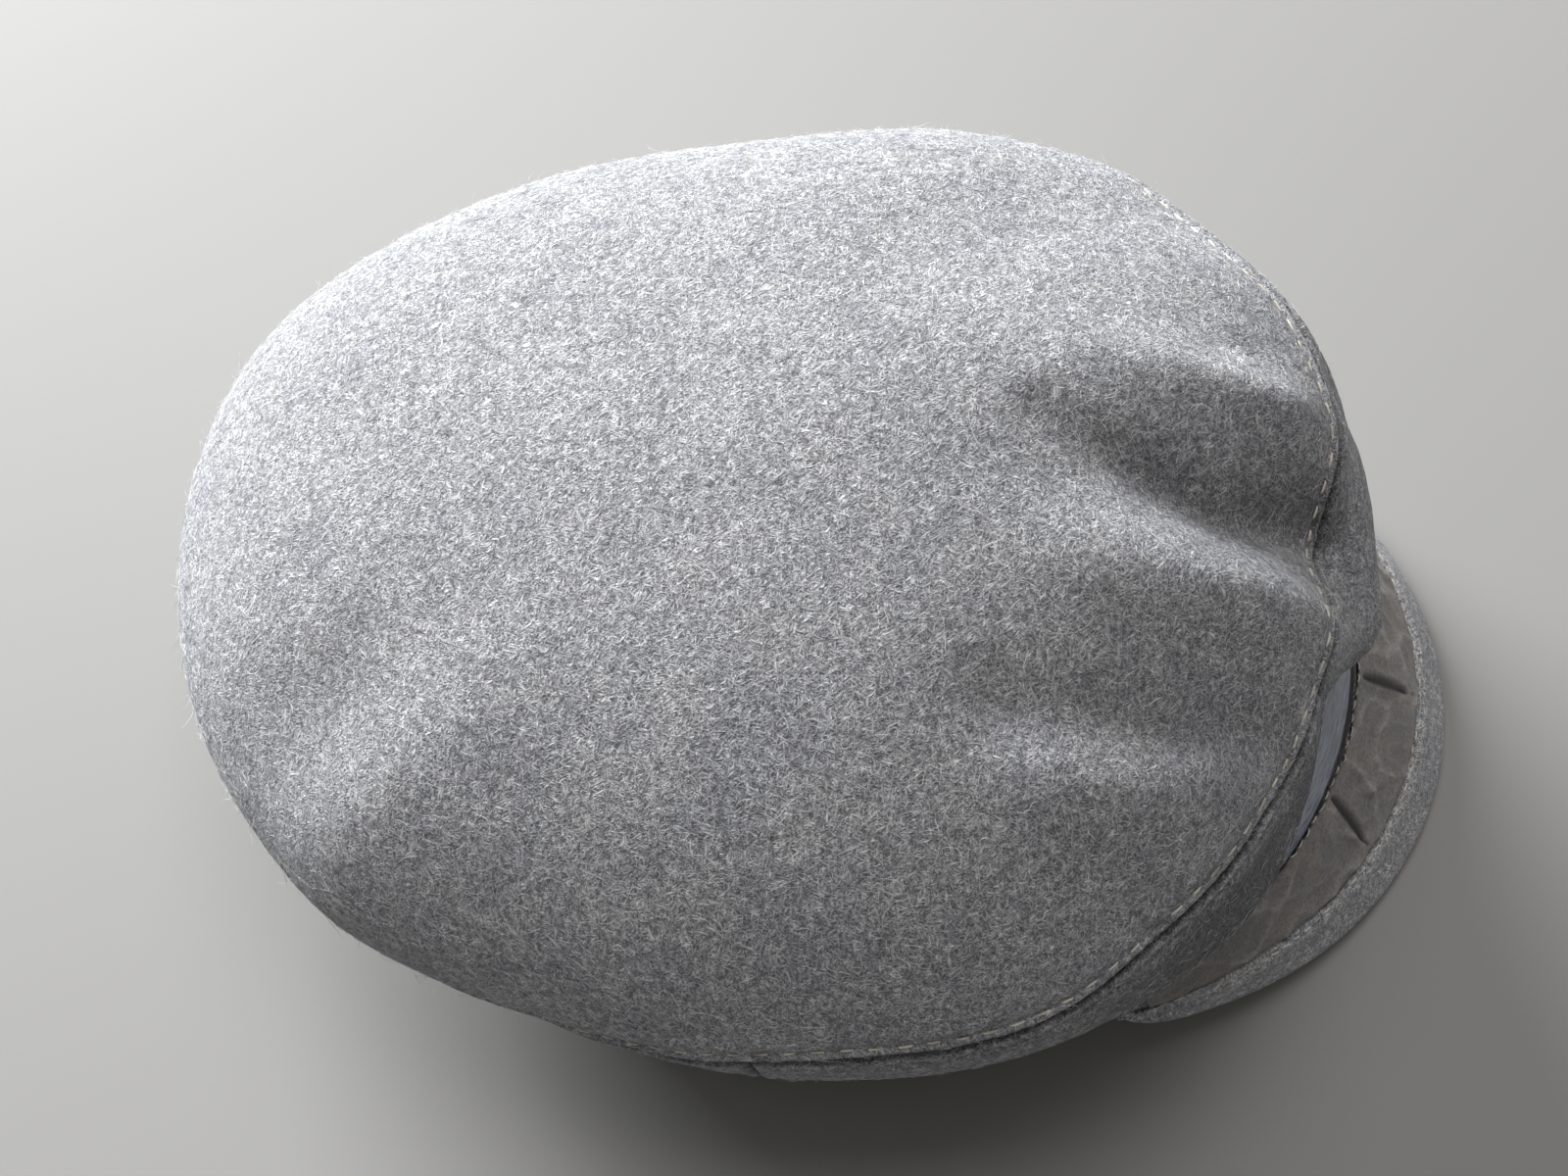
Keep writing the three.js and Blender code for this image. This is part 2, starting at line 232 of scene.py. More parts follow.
# %% Heather wool
def ramp(tree, value, stops):
    """A colour ramp: stops are pairs of place and colour."""
    made = add_node(tree, "ShaderNodeValToRGB", {"Fac": value})
    elements = made.color_ramp.elements
    while len(elements) < len(stops):
        elements.new(0.5)
    for element, (place, colour) in zip(elements, stops):
        element.position = place
        element.color = (*colour, 1)
    return made.outputs["Color"]


def mix(tree, share, first, second, blend="MIX"):
    """Mixes two colours."""
    made = add_node(tree, "ShaderNodeMix", data_type="RGBA", blend_type=blend)
    for number, value in ((0, share), (6, first), (7, second)):
        socket = made.inputs[number]
        if isinstance(value, bpy.types.NodeSocket):
            tree.links.new(value, socket)
        else:
            socket.default_value = value
    return made.outputs[2]


# the colour of the shade painted into the wool's seams, fold valleys and side panels beside the
# peak
PAINTED_SHADE_COLOUR = (0.022, 0.020, 0.019, 1)


def heather_wool(name, shade):
    """Milled wool, its colours scaled by the second argument: above 1 is painted light."""
    material, tree, shader = new_material(
        name, Roughness=0.95, Sheen_Weight=0.35, Sheen_Roughness=0.45,
        Sheen_Tint=(0.9, 0.93, 1.0, 1), Specular_IOR_Level=0.2,
    )
    place = object_place(tree)
    waver = grain(tree, place, 260.0, 1.0, "Color")
    shift = add_node(
        tree, "ShaderNodeVectorMath", {0: waver, 1: (2 * MM,) * 3}, operation="MULTIPLY",
    )
    bent = add_node(tree, "ShaderNodeVectorMath", {0: place, 1: shift.outputs[0]}, operation="ADD")
    mat = fibre_mat(tree, bent.outputs[0], fineness=2500.0, stretch=7.0)
    clumps, clouds = grain(tree, place, 760.0), grain(tree, place, 75.0, 3.0)
    dark, mid, pale = ([c * shade for c in colour] for colour in (
        (0.15, 0.149, 0.158), (0.32, 0.32, 0.334), (0.66, 0.665, 0.68),
    ))
    fibres = ramp(tree, mat, [(0.53, dark), (0.63, mid), (0.78, pale)])
    speckle = ramp(tree, clumps, [(0.36, (0.74,) * 3), (0.5, (1.0,) * 3), (0.64, (1.26,) * 3)])
    tinge = ramp(tree, clouds, [(0.36, (0.90, 0.905, 0.925)), (0.62, (1.06, 1.05, 1.04))])
    colour = mix(tree, 1.0, fibres, speckle, "MULTIPLY")
    colour = mix(tree, 1.0, colour, tinge, "MULTIPLY")
    # painted shade: the wool is darkened where an attribute says, in seams, fold valleys and beside
    # the peak
    painted_shade = add_node(tree, "ShaderNodeAttribute", attribute_name="painted_shade").outputs["Fac"]
    colour = mix(tree, painted_shade, colour, PAINTED_SHADE_COLOUR)
    tree.links.new(colour, shader.inputs["Base Color"])
    roughen(tree, shader, mat, 0.8, 1.2 * MM)
    return material


crown_wool = heather_wool("crown_wool", 1.0)
# the headband and the peak are the same wool, painted 1.4 times lighter, as light
band_wool_painted_light = heather_wool("band_wool_painted_light", 1.4)
print("two wools from", len(FIBRE_LINES), "fibre lines each")

# %% [markdown]
# ## Smooth cloth, satin and thread
#
# The peak's top is faced with a finer, browner cloth that has crinkled, the ribbon is a blue-grey
# satin that shines across its threads, and the seams are sewn with a thick cream thread. Their
# weave is too fine to see, so a noise stands for its grain: fine and even for the cloth, drawn out
# along the ribbon for the satin's threads.

# %% Smooth cloth, satin and thread
def smooth_cloth():
    """The peak's facing: paler where its creases are worn, with shade painted in its open tucks."""
    material, tree, shader = new_material(
        "panel_cloth", Roughness=0.72, Sheen_Weight=0.2, Sheen_Roughness=0.5,
    )
    place = object_place(tree)
    fine, clouds = grain(tree, place, 1500.0), grain(tree, place, 170.0)
    ground = ramp(tree, fine, [(0.3, (0.215, 0.206, 0.2)), (0.7, (0.35, 0.338, 0.328))])
    tinge = ramp(tree, clouds, [(0.35, (0.92, 0.94, 0.96)), (0.65, (1.06, 1.0, 0.96))])
    cloth = mix(tree, 1.0, ground, tinge, "MULTIPLY")
    worn = add_node(tree, "ShaderNodeAttribute", attribute_name="worn").outputs["Fac"]
    wear = ramp(tree, worn, [(0.0, (0.82,) * 3), (0.5, (1.0,) * 3), (1.0, (1.6,) * 3)])
    cloth = mix(tree, 1.0, cloth, wear, "MULTIPLY")
    # painted shade: nearly black inside the open tucks
    tuck = add_node(tree, "ShaderNodeAttribute", attribute_name="tuck").outputs["Fac"]
    tree.links.new(mix(tree, tuck, cloth, (0.012, 0.011, 0.010, 1)), shader.inputs["Base Color"])
    roughen(tree, shader, fine, 0.35, 0.3 * MM)
    return material


def satin():
    """Satin with its threads running round the ribbon."""
    material, tree, shader = new_material("ribbon_satin", Roughness=0.34, Sheen_Weight=0.15)
    drawn_out = add_node(tree, "ShaderNodeMapping", {
        "Vector": object_place(tree), "Scale": (0.12, 0.12, 1.0),
    })
    lines = grain(tree, drawn_out.outputs["Vector"], 2600.0)
    colour = ramp(tree, lines, [(0.35, (0.21, 0.235, 0.30)), (0.65, (0.46, 0.50, 0.60))])
    tree.links.new(colour, shader.inputs["Base Color"])
    roughen(tree, shader, lines, 0.5, 0.4 * MM)
    return material


def thread():
    """Cream thread, greyer where it is worn."""
    material, tree, shader = new_material("cream_thread", Roughness=0.6, Sheen_Weight=0.3)
    wear = grain(tree, object_place(tree), 400.0)
    colour = ramp(tree, wear, [(0.35, (0.50, 0.45, 0.36)), (0.6, (0.84, 0.79, 0.68))])
    tree.links.new(colour, shader.inputs["Base Color"])
    return material


def loose_fibre():
    """Pale wool hairs, some of them darker: the noise is nearly the same all along a hair."""
    material, tree, shader = new_material("loose_fibre", Roughness=0.8, Sheen_Weight=0.3)
    kind = grain(tree, object_place(tree), 300.0, 1.0)
    colour = ramp(tree, kind, [(0.38, (0.32, 0.32, 0.34)), (0.52, (0.78, 0.78, 0.78))])
    tree.links.new(colour, shader.inputs["Base Color"])
    return material


panel_cloth, ribbon_satin = smooth_cloth(), satin()
cream_thread, fibre_wool = thread(), loose_fibre()
print("smooth cloth, satin, thread and loose fibres")

# %% [markdown]
# ## From a stiff solid to soft cloth
#
# Each crown panel in the frame is a closed wall of flat facets, two millimetres thick. A copy of it
# is split along its sharp edges, which parts the outside from the inside. The outside gets a narrow
# border along its open edge, so that there are enough faces to roll the cloth down into the seam,
# and then both are rounded by subdivision. Folding and rolling are small vertex moves, as a sculpt
# brush would make them. Last, the two sheets are bridged along their edges, which closes the wall.
# A cloth simulation could drape new panels instead, but they would drift from the frame's solids.

# %% Selecting and editing
def only(*pieces):
    """Deselects everything, then selects these pieces, the first one active."""
    if bpy.context.object and bpy.context.object.mode != "OBJECT":
        bpy.ops.object.mode_set(mode="OBJECT")
    bpy.ops.object.select_all(action="DESELECT")
    for piece in pieces:
        piece.select_set(True)
    bpy.context.view_layer.objects.active = pieces[0]


def edit(piece, kind="FACE", select="SELECT"):
    """Opens one piece in edit mode, with everything or nothing selected."""
    only(piece)
    bpy.ops.object.mode_set(mode="EDIT")
    bpy.ops.mesh.select_mode(type=kind)
    bpy.ops.mesh.select_all(action=select)


def leave_edit():
    """Goes back to object mode."""
    bpy.ops.object.mode_set(mode="OBJECT")


# %% The two sheets of a wall
MERGE_WITHIN = 0.01 * MM
CAP_MIDDLE = Vector((0, 0, 40)) * MM


def copy_of(node, name):
    """A copy of a frame solid, with its loose triangles merged into quads."""
    piece = bpy.data.objects.new(name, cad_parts[node].data.copy())
    bpy.context.scene.collection.objects.link(piece)
    piece.data.materials.clear()
    edit(piece)
    bpy.ops.mesh.remove_doubles(threshold=MERGE_WITHIN)
    bpy.ops.mesh.tris_convert_to_quads(
        face_threshold=math.radians(70), shape_threshold=math.radians(80),
    )
    leave_edit()
    return piece


def outwardness(sheet):
    """Large and positive where a sheet's faces look away from the middle of the cap."""
    faces = sheet.data.polygons
    return sum(face.area * face.normal.dot(face.center - CAP_MIDDLE) for face in faces)


def sheets_of(node, name, sharpness=50):
    """The outside and the inside of a frame solid's wall, as two open sheets without its rims."""
    piece = copy_of(node, name)
    edit(piece, "EDGE", "DESELECT")
    bpy.ops.mesh.edges_select_sharp(sharpness=math.radians(sharpness))
    bpy.ops.mesh.edge_split(type="EDGE")
    bpy.ops.mesh.select_all(action="SELECT")
    bpy.ops.mesh.separate(type="LOOSE")
    leave_edit()
    parts = sorted(bpy.context.selected_objects, key=outwardness)
    inside, outside = parts[0], parts[-1]
    for rim in parts[1:-1]:
        bpy.data.objects.remove(rim)
    inside.name, outside.name = name + "_inside", name
    counts = len(outside.data.polygons), len(inside.data.polygons)
    print(node, "has", counts[0], "faces outside and", counts[1], "inside")
    return outside, inside


# %% Rounding and moving the cloth
BORDER = 3.4 * MM          # how wide the ring of faces along an open edge is


def add_border(sheet):
    """Adds a ring of narrow faces along the sheet's open edge."""
    edit(sheet)
    bpy.ops.mesh.inset(thickness=BORDER, use_boundary=True, use_even_offset=True)
    leave_edit()


def subdivide(piece, levels):
    """Rounds a piece by subdivision, but not the creased corners of its open edge."""
    only(piece)
    rounding = piece.modifiers.new("rounding", "SUBSURF")
    rounding.boundary_smooth = "PRESERVE_CORNERS"
    rounding.levels = rounding.render_levels = levels
    bpy.ops.object.modifier_apply(modifier=rounding.name)


def read_points(piece, what="co"):
    """The places of a piece's points, or their normals, as rows of an array."""
    values = np.empty(len(piece.data.vertices) * 3)
    piece.data.vertices.foreach_get(what, values)
    return values.reshape(-1, 3)


def move_points(piece, points):
    """Puts a piece's points at new places."""
    piece.data.vertices.foreach_set("co", np.ascontiguousarray(points).ravel())
    piece.data.update()


def write_attribute(piece, name, values):
    """Writes one number for each point of a piece, for a material or a modifier to read."""
    piece.data.attributes.new(name, "FLOAT", "POINT").data.foreach_set("value", values)


def unevenness(points, fineness):
    """A smooth random number for each point, from about -1 to 1."""
    return np.array([noise.noise(Vector(point) * fineness) for point in points])


# %% [markdown]
# The cloth is rolled by how far each point is from the sheet's open edge, so the edge is walked
# once in order, and each point then asks for its nearest place along it. Edges that belong to one
# face only are open. Where the open edge turns a corner, the corner is creased, or subdivision
# would round it off and leave a hole between the panels that meet there.

# %% The open edge of a sheet
def edge_uses(piece):
    """How many faces each edge belongs to, by the numbers of its two points."""
    used = {}
    for face in piece.data.polygons:
        for key in face.edge_keys:
            used[key] = used.get(key, 0) + 1
    return used


def open_edge(sheet):
    """The numbers of the points along the sheet's open edge, in order."""
    beside = {}
    for (a, b), count in edge_uses(sheet).items():
        if count == 1:
            beside.setdefault(a, []).append(b)
            beside.setdefault(b, []).append(a)
    loop, previous = [min(beside)], None
    while len(loop) <= len(beside):
        following = next(point for point in beside[loop[-1]] if point != previous)
        previous = loop[-1]
        if following == loop[0]:
            break
        loop.append(following)
    return loop


CORNER_COSINE = 0.6        # the edge turns a corner where it bends by more than 53 degrees


def keep_corners(sheet):
    """Creases the corners of the sheet's open edge."""
    loop = open_edge(sheet)
    points = read_points(sheet)[loop]
    ahead, behind = np.roll(points, -1, axis=0) - points, points - np.roll(points, 1, axis=0)
    lengths = np.linalg.norm(ahead, axis=1) * np.linalg.norm(behind, axis=1)
    cosine = np.einsum("ij,ij->i", ahead, behind) / lengths
    crease = np.zeros(len(sheet.data.vertices))
    crease[np.array(loop)[cosine < CORNER_COSINE]] = 1
    write_attribute(sheet, "crease_vert", crease)
    print(sheet.name, "has", int(crease.sum()), "corners")


# %% Paths
PATH_STEP = 0.2 * MM


def closed_path(points):
    """A closed path as points one step apart, and how far along it each one is."""
    following = np.roll(points, -1, axis=0)
    lengths = np.linalg.norm(following - points, axis=1)
    ends = np.concatenate([[0], np.cumsum(lengths)])
    places = np.arange(0, ends[-1], PATH_STEP)
    ring = np.vstack([points, points[:1]])
    path = np.stack([np.interp(places, ends, ring[:, axis]) for axis in range(3)], axis=1)
    return path, places


def nearest_on(path, points):
    """The distance from each point to a path of points, and the number of the nearest one."""
    tree = kdtree.KDTree(len(path))
    for number, place in enumerate(path):
        tree.insert(place, number)
    tree.balance()
    found = [tree.find(point) for point in points]
    return np.array([f[2] for f in found]), np.array([f[1] for f in found])


def steepness(path):
    """How steeply a closed path climbs at each of its points: 0 is level and 1 straight up."""
    ahead = np.roll(path, -8, axis=0) - np.roll(path, 8, axis=0)
    return np.abs(ahead[:, 2]) / np.linalg.norm(ahead, axis=1)


def unit(vectors):
    """The same directions, with a length of 1."""
    return vectors / np.maximum(np.linalg.norm(vectors, axis=-1, keepdims=True), 1e-6)


# %% [markdown]
# Where two panels meet, each edge is turned in and sewn, and pressed to its own side by a row of
# topstitching. Seen across, the cloth comes in level, sinks a little under the stitches, swells
# over the turned-in edge, and drops into the seam. The table gives that line once, for every seam.
# A bevel would round the edge too, but it can't make the dip under the stitches.

# %% The line of a rolled seam
STITCH_INSET = 2.7         # mm from the seam to the topstitching
STITCH_PITCH = 5.0         # mm from one topstitch to the next
PUCKER = 0.22              # mm, how much deeper the cloth is pulled in at each stitch hole
ROLL = [                   # both in mm
    {"from_seam": 0.0, "lift": -2.0},
    {"from_seam": 0.4, "lift": -1.1},
    {"from_seam": 0.8, "lift": -0.25},
    {"from_seam": 1.3, "lift": 0.3},
    {"from_seam": 1.9, "lift": 0.28},
    {"from_seam": 2.7, "lift": -0.42},
    {"from_seam": 3.6, "lift": -0.1},
    {"from_seam": 5.0, "lift": 0.12},
    {"from_seam": 8.0, "lift": 0.0},
]
DEEP, HALF_DEEP, FLAT = 1.0, 0.55, 0.08


def roll_depths(path, top_seam_path):
    """How deep a side panel is rolled: fully at the top seam, and hardly at the headband."""
    upright = steepness(path) > 0.5
    at_top = nearest_on(top_seam_path, path)[0] < 3 * MM
    depths = np.where(at_top, DEEP, np.where(upright, HALF_DEEP, FLAT))
    nearby = range(-15, 16)
    depths = np.min([np.roll(depths, shift) for shift in nearby], axis=0)
    return np.mean([np.roll(depths, shift) for shift in nearby], axis=0)


# %% [markdown]
# Shade is painted into the wool in the seam's groove and in the valleys of the folds. It is painted
# darkest on the side panels beside the peak, under the crown's overhang: from nothing at its middle
# in front to the full amount at the peak's ends, so that no patch has a border.

# %% Roll an edge into its seam, and paint shade on it
SEAM_PAINTED_SHADE = 0.85           # how dark the shade painted in the seam itself is
SIDE_PAINTED_SHADE = 0.68           # and on the side panels beside the peak


def side_painted_shade(points, distance):
    """How dark shade is painted on the side wool, away from its edges: the distance to them is in
    mm.
    """
    x, y = np.abs(points[:, 0]) / MM, points[:, 1] / MM
    # grows from 8 to 42 mm beside the middle line, and from 25 to 65 mm in front of the middle
    beside_peak = np.clip((x - 8) / 34, 0, 1) * np.clip((-25 - y) / 40, 0, 1)
    beside_peak = beside_peak ** 2 * (3 - 2 * beside_peak)
    return SIDE_PAINTED_SHADE * beside_peak * np.clip((distance - 2.5) / 4, 0, 1)


def roll_edge(sheet, top_seam_path=None):
    """Rolls the cloth into the seam along the sheet's open edge, puckers it and paints shade on it
    there.
    """
    points, normals = read_points(sheet), read_points(sheet, "normal")
    path, places = closed_path(points[open_edge(sheet)])
    distance, nearest = nearest_on(path, points)
    distance = distance / MM
    along = places[nearest] / MM
    lift = np.interp(distance, [row["from_seam"] for row in ROLL], [row["lift"] for row in ROLL])
    lift += 0.55 * np.exp(-(distance / 7) ** 2) * unevenness(points, 90)
    # painted shade, darkest in the seam's groove
    painted_shade = SEAM_PAINTED_SHADE * np.exp(-(distance / 0.8) ** 2)
    if top_seam_path is None:
        under_stitch = np.exp(-((distance - STITCH_INSET) / 0.8) ** 2)
        lift -= PUCKER * under_stitch * np.cos(2 * np.pi * along / STITCH_PITCH)
    else:
        depths = roll_depths(path, top_seam_path)[nearest]
        lift *= depths
        painted_shade *= np.clip(0.2 + depths, 0, 1)
        # painted shade on the side panels beside the peak, under the crown's overhang
        painted_shade = np.maximum(painted_shade, side_painted_shade(points, distance))
    move_points(sheet, points + normals * (lift * MM)[:, None])
    # the painted shade of the seams, the side panels and the fold valleys
    write_attribute(sheet, "painted_shade", np.maximum(painted_shade, valley_painted_shade(points)))


# %% Close the wall
def close_wall(outside, inside, name):
    """Joins the two sheets of a wall and bridges their edges."""
    only(outside, inside)
    bpy.ops.object.join()
    edit(outside, "EDGE", "DESELECT")
    bpy.ops.mesh.select_non_manifold(
        extend=False, use_wire=False, use_boundary=True, use_multi_face=False,
        use_non_contiguous=False, use_verts=False,
    )
    bpy.ops.mesh.bridge_edge_loops()
    leave_edit()
    bpy.ops.object.shade_smooth_by_angle(angle=math.radians(60))
    outside.name = name
    open_edges = sum(count != 2 for count in edge_uses(outside).values())
    triangles = sum(len(face.vertices) - 2 for face in outside.data.polygons)
    print(name, "has", triangles, "triangles and", open_edges, "open edges")
    return outside


# %% [markdown]
# A finished piece takes the place of the frame's plain solid. It is told which body it moves with,
# what it is made of, and which solids it stands for. The cap is soft all over and has one body.

# %% Show a piece in the place of its node
def show(piece, material, slot, *nodes):
    """Gives a piece its finish and body, and hides the nodes that it stands for."""
    piece.data.materials.clear()
    piece.data.materials.append(material)
    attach(piece, "root")
    if nodes:
        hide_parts(*nodes)


# %% [markdown]
# ## Folds of the crown
#
# The frame's solid has the big folds already, as broad as its facets allow. The cloth is folded
# more sharply than that, most of all at the front, where the crown is too big for the headband and
# sinks into a pocket. Each stroke follows a line of places, seen from above in millimetres, and has
# a half width and a lift at its start and at its end. All three crown panels take the same strokes,
# so that they still meet at the seam. A sculpt brush would do as well, but these strokes can be
# read and changed one by one.

# %% Strokes that fold the cloth
STROKES = [
    {
        "name": "front valley", "width": (5, 6), "lift": (-1.5, -5.0),
        "line": [(6, -38), (-1, -47), (-7, -58), (-11, -69), (-10, -79), (-8, -90)],
    },
    {
        "name": "left of it", "width": (7, 6), "lift": (1.0, 3.4),
        "line": [(19, -46), (13, -68), (9, -84)],
    },
    {
        "name": "right of it", "width": (9, 8), "lift": (1.6, 4.2),
        "line": [(-22, -42), (-27, -64), (-28, -88)],
    },
    {
        "name": "second valley", "width": (7, 7), "lift": (-1.4, -2.4),
        "line": [(-47, -26), (-51, -50), (-49, -76)],
    },
    {
        "name": "right of that", "width": (8, 8), "lift": (1.1, 2.2),
        "line": [(-60, -32), (-61, -54), (-57, -68)],
    },
]
SOFT_WAVES = 0.5           # mm, slow unevenness all over the cloth


def even_line(corners):
    """A line on the ground through some corners, as points 0.5 mm apart."""
    corners = np.array([(x, y, 0) for x, y in corners])
    ends = np.concatenate([[0], np.cumsum(np.linalg.norm(np.diff(corners, axis=0), axis=1))])
    places = np.arange(0, ends[-1], 0.5)
    return np.stack([np.interp(places, ends, corners[:, axis]) for axis in range(3)], axis=1)


def beside_line(corners, points):
    """How far points are from a line, seen from above in mm, and how far along it, from 0 to 1."""
    line = even_line(corners)
    distance, nearest = nearest_on(line, points / MM * (1, 1, 0))
    return distance, nearest / len(line)


def stroke_lift(points):
    """How far the strokes lift the cloth at each point, in metres."""
    lift = np.zeros(len(points))
    for stroke in STROKES:
        distance, share = beside_line(stroke["line"], points)
        width = np.interp(share, (0, 1), stroke["width"])
        lift += np.interp(share, (0, 1), stroke["lift"]) * np.exp(-(distance / width) ** 2)
    # the strokes are full from 70 mm above the floor, and fade to nothing at 45 mm
    upper = np.clip((points[:, 2] / MM - 45) / 25, 0, 1)
    return (lift * upper + SOFT_WAVES * unevenness(points, 28)) * MM


def valley_painted_shade(points):
    """How dark shade is painted in the valleys, 3 mm to the left of each line."""
    painted_shade = np.zeros(len(points))
    for stroke in STROKES:
        if stroke["lift"][1] < 0:
            distance, share = beside_line(stroke["line"], points - (3 * MM, 0, 0))
            depth = -np.interp(share, (0, 1), stroke["lift"])
            # painted shade in the fold valleys
            painted_shade = np.maximum(painted_shade, 0.12 * depth * np.exp(-(distance / 6) ** 2))
    return painted_shade


def fold(sheet, held=1.0):
    """Folds the cloth up and down, and less where it is held (0 is fast, 1 is free)."""
    points = read_points(sheet)
    move_points(sheet, points + np.outer(stroke_lift(points) * held, (0, 0, 1)))


# %% [markdown]
# ## Stitches
#
# A stitch is a short piece of thick thread that comes up through the cloth, lies on it and goes
# down again. One is modelled from a six-sided cylinder that is cut across in a few places. Copies
# of it are laid along a row as one joined mesh, each bowed and thinned at its ends, which go down
# into the cloth. No two sewn stitches are alike, so their slants and lengths differ a little. A
# curve with a round bevel could be the thread, but it would need many more faces.

# %% One stitch
def model_stitch():
    """One stitch of length 1 along X and thread radius 1, as points and faces."""
    bpy.ops.object.select_all(action="DESELECT")
    bpy.ops.mesh.primitive_cylinder_add(vertices=6, radius=1, depth=1, rotation=(0, math.pi / 2, 0))
    stitch = bpy.context.object
    bpy.ops.object.transform_apply(location=False, rotation=True, scale=False)
    for cut in (-0.42, -0.25, 0.0, 0.25, 0.42):
        edit(stitch)
        bpy.ops.mesh.bisect(plane_co=(cut, 0, 0), plane_no=(1, 0, 0))
        leave_edit()
    points = read_points(stitch)
    faces = [tuple(face.vertices) for face in stitch.data.polygons]
    bpy.data.objects.remove(stitch)
    return points, faces


STITCH_POINTS, STITCH_FACES = model_stitch()
print("one stitch has", len(STITCH_FACES), "faces")


# %% A row of stitches
STITCH_UNEVENNESS = 0.07   # spread of their slants (radians) and of their lengths (share)


def joined_mesh(name, points, faces):
    """One mesh object from arrays of points and faces."""
    mesh = bpy.data.meshes.new(name)
    mesh.from_pydata(points, [], faces)
    mesh.validate()
    piece = bpy.data.objects.new(name, mesh)
    bpy.context.scene.collection.objects.link(piece)
    only(piece)
    bpy.ops.object.shade_smooth()
    return piece


def stitch_row(name, places, length, radius, sink, seed):
    """Lays a stitch at each place: its middle, its direction and the cloth's normal there."""
    chance = np.random.default_rng(seed)
    all_points, all_faces = [], []
    for middle, direction, normal in places:
        normal = unit(normal)
        across = unit(np.cross(normal, direction))
        slant = chance.normal(0, STITCH_UNEVENNESS)
        ahead = np.cross(across, normal) * math.cos(slant) + across * math.sin(slant)
        across = np.cross(normal, ahead)
        reach = length * (1 + chance.normal(0, STITCH_UNEVENNESS))
        to_end = 2 * np.abs(STITCH_POINTS[:, 0])
        thickness = radius * (1 - 0.35 * to_end ** 6)
        height = 0.35 * radius - sink * to_end ** 4
        points = (
            middle
            + np.outer(STITCH_POINTS[:, 0] * reach, ahead)
            + np.outer(STITCH_POINTS[:, 1] * thickness, across)
            + np.outer(STITCH_POINTS[:, 2] * thickness + height, normal)
        )
        shift = len(all_points) * len(STITCH_POINTS)
        all_faces += [tuple(v + shift for v in face) for face in STITCH_FACES]
        all_points.append(points)
    return joined_mesh(name, np.concatenate(all_points), all_faces)


# %% Places beside a seam
def bvh_of(sheet):
    """A sheet's faces in a tree, which finds the place on them that is nearest to a point."""
    faces = [tuple(face.vertices) for face in sheet.data.polygons]
    return BVHTree.FromPolygons(read_points(sheet).tolist(), faces)


def row_beside(path, tree, inset, pitch, inner):
    """Places for stitches beside a path, an inset away from it towards an inner place."""
    rows = []
    spacing = pitch / PATH_STEP
    for number in range(1, int(len(path) / spacing)):
        at = int(number * spacing)
        ahead = unit(path[min(at + 8, len(path) - 1)] - path[at - 8])
        normal = np.array(tree.find_nearest(path[at])[1])
        inward = np.cross(normal, ahead)
        if inward @ (inner - path[at]) < 0:
            inward = -inward
        on, normal, _, _ = tree.find_nearest(path[at] + inward * inset)
        rows.append((np.array(on), ahead, np.array(normal)))
    return rows


# %% [markdown]
# ## Crown top
#
# The top is one oval of wool, the largest piece of the cap. Its seam is topstitched all round. It
# could be a new oval, inflated and folded, but the frame's wall has the true shape already. The
# stitches' places are worked out on the smooth cloth, where normals are calm, and are put onto the
# rolled cloth afterwards. The edge before folding is kept: the side panels share it.

# %% Crown top
top, top_inside = sheets_of("crown_top", "crown_top_cloth")
add_border(top)
subdivide(top, 3)
subdivide(top_inside, 1)
unfolded_edge = closed_path(read_points(top)[open_edge(top)])[0]
fold(top)
fold(top_inside)
smooth_tree = bvh_of(top)
top_edge = closed_path(read_points(top)[open_edge(top)])[0]
top_middle = top_edge.mean(axis=0)
top_seam = row_beside(top_edge, smooth_tree, STITCH_INSET * MM, STITCH_PITCH * MM, top_middle)
roll_edge(top)
top_tree = bvh_of(top)
print("the top's edge is", round(len(top_edge) * PATH_STEP / MM), "mm long")


# %% Topstitching of the crown
def settle(places, tree):
    """Puts places for stitches onto cloth that has moved since they were worked out."""
    settled = []
    for middle, ahead, normal in places:
        on = tree.find_nearest(middle)[0]
        settled.append((np.array(on), ahead, normal))
    return settled


topstitch = stitch_row(
    "crown_topstitch", settle(top_seam, top_tree),
    length=3.7 * MM, radius=0.23 * MM, sink=0.55 * MM, seed=3,
)
print(len(top_seam), "stitches round the top")

# %% [markdown]
# ## Loose fibres
#
# Milled wool has a nap: hairs that have worked loose lie on it in loops and curls, and a few stand
# away from it. They are what softens the cap's outline. A fibre is a three-sided tube a few
# hundredths of a millimetre thick, laid on the cloth from a random place in a random direction.
# Blender's hair would have to be made a mesh in the end, and this way each fibre has few faces.

# %% Where fibres grow
def sheet_triangles(sheet):
    """The corners of a sheet's triangles."""
    sheet.data.calc_loop_triangles()
    corners = np.empty(len(sheet.data.loop_triangles) * 3, dtype=np.int64)
    sheet.data.loop_triangles.foreach_get("vertices", corners)
    return read_points(sheet)[corners.reshape(-1, 3)]


def random_places(sheet, count, chance):
    """Places spread evenly over a sheet."""
    first, second, third = sheet_triangles(sheet).transpose(1, 0, 2)
    areas = np.linalg.norm(np.cross(second - first, third - first), axis=1)
    chosen = chance.choice(len(areas), size=count, p=areas / areas.sum())
    first, second, third = first[chosen], second[chosen], third[chosen]
    u, v = chance.random((2, count, 1))
    over = (u + v) > 1
    u, v = np.where(over, 1 - u, u), np.where(over, 1 - v, v)
    return first + u * (second - first) + v * (third - first)


